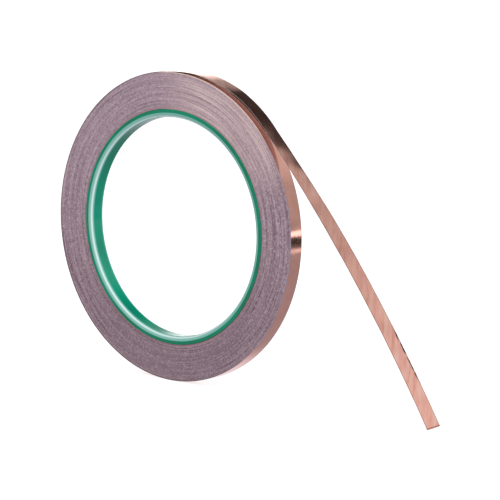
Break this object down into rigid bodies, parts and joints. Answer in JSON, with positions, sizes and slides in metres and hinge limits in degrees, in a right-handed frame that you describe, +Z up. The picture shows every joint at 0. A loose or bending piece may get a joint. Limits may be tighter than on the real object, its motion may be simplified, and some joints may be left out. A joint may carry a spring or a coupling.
{
  "type": "copper foil tape roll",
  "caption": "Roll of narrow copper foil tape with a paper liner on a green plastic core ring, with a free tail that leaves the top and hangs beside the roll.",
  "frame": {"origin": "middle of the core's bore, halfway through the width of the tape", "axes": "+Y along the bore, away from the front face; +Z up; +X to the side on which the tail hangs"},
  "size_m": [0.1676, 0.0064, 0.1081],
  "materials": {
    "core_plastic": "glossy moulded plastic",
    "winding": "satin, fine rings of foil and paper edges",
    "copper_foil": "bright rolled copper with light handling marks",
    "adhesive": "clear tacky acrylic film",
    "liner_paper": "smooth release-coated paper"
  },
  "bodies": {
    "roll": {"core": "core_plastic", "wound_tape": "winding"},
    "tail_root": {"foil_root": "copper_foil", "adhesive_root": "adhesive", "liner_root": "liner_paper"},
    "tail_middle": {"foil_middle": "copper_foil", "adhesive_middle": "adhesive", "liner_middle": "liner_paper"},
    "tail_end": {"foil_end": "copper_foil", "adhesive_end": "adhesive", "liner_end": "liner_paper"},
    "tab": {"liner_tab": "liner_paper"}
  },
  "joints": [
    {"name": "tail_peel", "type": "hinge", "parent": "roll", "child": "tail_root", "pos_m": [-0.00235, 0, 0.05377], "axis": [0, -1, 0], "range_deg": [0, 45]},
    {"name": "tail_bend_upper", "type": "hinge", "parent": "tail_root", "child": "tail_middle", "pos_m": [0.0473, 0, 0.03148], "axis": [0, -1, 0], "range_deg": [0, 35]},
    {"name": "tail_bend_lower", "type": "hinge", "parent": "tail_middle", "child": "tail_end", "pos_m": [0.08125, 0, -0.00788], "axis": [0, -1, 0], "range_deg": [0, 35]},
    {"name": "liner_peel", "type": "hinge", "parent": "tail_end", "child": "tab", "pos_m": [0.10554, 0, -0.04169], "axis": [0, 1, 0], "range_deg": [0, 100]}
  ]
}
